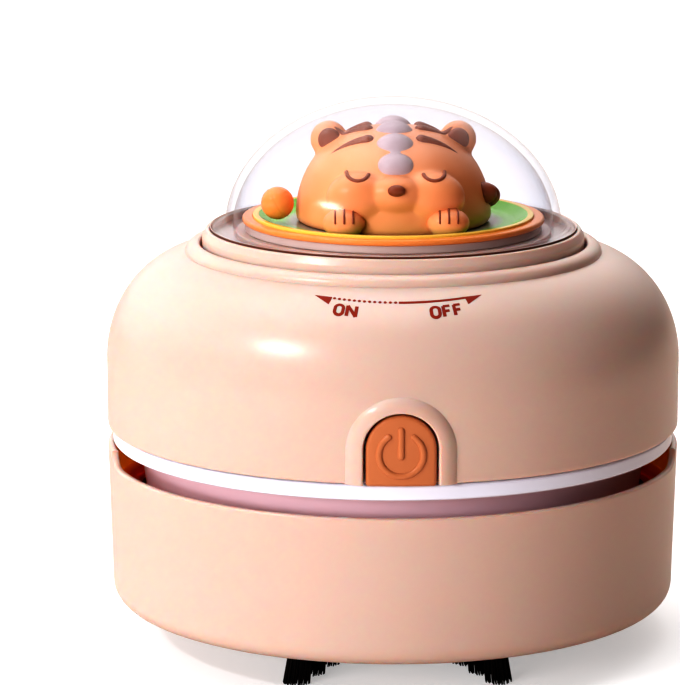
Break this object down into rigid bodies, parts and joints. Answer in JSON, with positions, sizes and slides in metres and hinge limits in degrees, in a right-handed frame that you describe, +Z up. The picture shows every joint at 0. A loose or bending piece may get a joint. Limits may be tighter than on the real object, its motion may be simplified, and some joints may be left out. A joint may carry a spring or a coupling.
{
  "type": "desktop mini vacuum cleaner",
  "caption": "Round palm-size desk vacuum with a lift-off dust cup, front exhaust slot, push button, floor brushes and a clear display dome.",
  "frame": {"origin": "bottom centre, on the plane that the brush tips stand on, under the body's vertical axis", "axes": "+Z up, -Y towards the power button and the exhaust slot, +X to the right of the button"},
  "size_m": [0.086, 0.0868, 0.0815],
  "materials": {
    "peach_plastic": "satin moulded plastic, warm peach",
    "white_plastic": "bluish white moulded plastic",
    "orange_plastic": "satin orange button",
    "black_nylon": "matt black bristle nylon",
    "black_plastic": "matt black moulded plastic",
    "grey_rubber": "matt grey rubber",
    "zinc_steel": "bright zinc-plated steel",
    "contact_brass": "plain brass",
    "nickel_strip": "satin nickel",
    "clear_plastic": "clear polished plastic",
    "filter_cloth": "white non-woven cloth",
    "board_green": "green board with a satin mask",
    "cell_blue": "blue shrink sleeve",
    "tray_brown": "smoky brown plastic",
    "tray_orange": "glossy orange",
    "tray_green": "glossy green",
    "figure_orange": "painted orange vinyl"
  },
  "bodies": {
    "cup": {"dust_cup": "peach_plastic", "suction_nozzle": "peach_plastic", "brush_strip_1": "black_nylon", "brush_strip_2": "black_nylon", "brush_strip_3": "black_nylon", "brush_strip_4": "black_nylon", "cup_seal_ring": "grey_rubber"},
    "housing": {"motor_deck": "white_plastic", "filter_frame": "white_plastic", "filter_cloth": "filter_cloth", "fan_cover": "white_plastic", "upper_shell": "peach_plastic", "shell_screw_1": "zinc_steel", "shell_screw_2": "zinc_steel", "shell_screw_3": "zinc_steel", "shell_screw_4": "zinc_steel", "motor_can": "zinc_steel", "motor_end_cap": "black_plastic", "motor_strap": "white_plastic", "strap_screw_1": "zinc_steel", "strap_screw_2": "zinc_steel", "battery_cell": "cell_blue", "cell_holder": "black_plastic", "cell_contact_left": "nickel_strip", "cell_contact_right": "nickel_strip", "charge_board": "board_green", "charge_chip": "black_plastic", "charge_coil": "black_plastic", "usb_socket": "zinc_steel", "switch_board": "board_green", "switch_body": "black_plastic"},
    "rotor": {"impeller": "white_plastic", "motor_shaft": "zinc_steel"},
    "button": {"power_button": "orange_plastic", "switch_plunger": "contact_brass"},
    "dome_cap": {"cap_base": "peach_plastic", "clear_dome": "clear_plastic", "tray_base": "tray_brown", "tray_rim": "tray_orange", "tray_dish": "tray_green", "tiger_figure": "figure_orange", "toy_ball": "tray_orange"}
  },
  "joints": [
    {"name": "housing_lift", "type": "slide", "parent": "cup", "child": "housing", "axis": [0, 0, 1], "range_m": [0, 0.03]},
    {"name": "cap_turn", "type": "hinge", "parent": "housing", "child": "dome_cap", "pos_m": [0, 0, 0.0595], "axis": [0, 0, 1], "range_deg": [0, 30]},
    {"name": "button_press", "type": "slide", "parent": "housing", "child": "button", "axis": [0, 1, 0], "range_m": [0, 0.0008], "stiffness_N_per_m": 600, "springref_m": -0.0006},
    {"name": "rotor_spin", "type": "hinge", "parent": "housing", "child": "rotor", "pos_m": [0, 0, 0.035], "axis": [0, 0, 1], "continuous": true}
  ]
}
